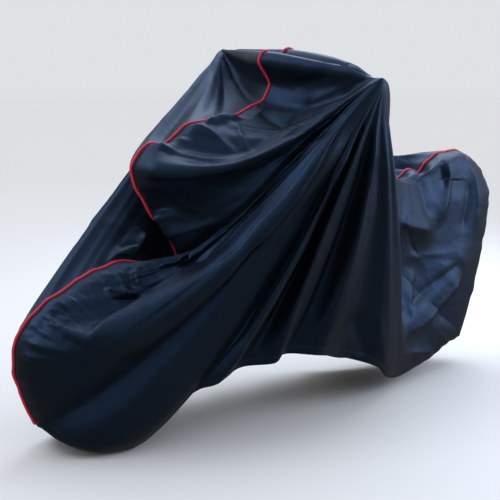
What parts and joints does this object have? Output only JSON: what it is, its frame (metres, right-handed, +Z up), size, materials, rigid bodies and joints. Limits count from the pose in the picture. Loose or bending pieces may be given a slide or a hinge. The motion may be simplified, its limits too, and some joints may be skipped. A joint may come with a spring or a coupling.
{
  "type": "motorcycle cover",
  "caption": "Fitted cloth cover draped to the shape of a motorcycle, peaked at both ends of the handlebar, with folds fanning down to an open hem and contrast piping on the centre seam.",
  "frame": {"origin": "the rest point under the top of the cover, just below the dip of the centre seam between the two top ridges", "axes": "+X from the front of the cover to its tail, +Y to its right side, +Z up; the ground lies 1.185 m below the origin"},
  "size_m": [2.018, 0.763, 1.207],
  "materials": {
    "cloth": "coated polyester, dark blue-grey, slight sheen",
    "piping": "woven tape over cord, red, matte"
  },
  "bodies": {
    "root": {"panel_left": "cloth", "panel_right": "cloth", "piping": "piping"}
  },
  "joints": []
}
